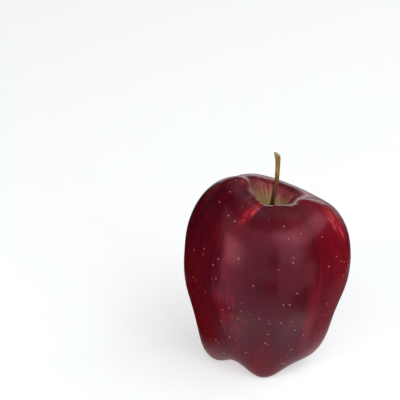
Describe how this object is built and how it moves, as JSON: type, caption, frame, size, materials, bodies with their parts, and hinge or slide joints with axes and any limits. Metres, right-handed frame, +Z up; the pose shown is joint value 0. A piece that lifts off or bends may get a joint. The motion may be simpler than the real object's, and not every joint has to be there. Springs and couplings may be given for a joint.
{
  "type": "apple",
  "caption": "Tall lobed red dessert apple with a woody stem in its cavity, standing on the lobes of its base.",
  "frame": {"origin": "on the table, under the middle of the bounding box of the fruit and its stem", "axes": "+Z up along the core to the stem; -Y is the front, where the lowest lobe stands; the taller shoulder is towards -X"},
  "size_m": [0.0778, 0.0754, 0.1064],
  "materials": {
    "apple_skin": "waxy gloss fruit skin, deep crimson",
    "stem_wood": "raw woody stalk, olive to brown",
    "dried_sepal": "dry and downy, grey-brown",
    "dried_stamen": "dry, dark brown"
  },
  "bodies": {
    "root": {"fruit": "apple_skin", "stem": "stem_wood", "sepal_1": "dried_sepal", "sepal_2": "dried_sepal", "sepal_3": "dried_sepal", "sepal_4": "dried_sepal", "sepal_5": "dried_sepal", "dried_stamens": "dried_stamen"}
  },
  "joints": []
}
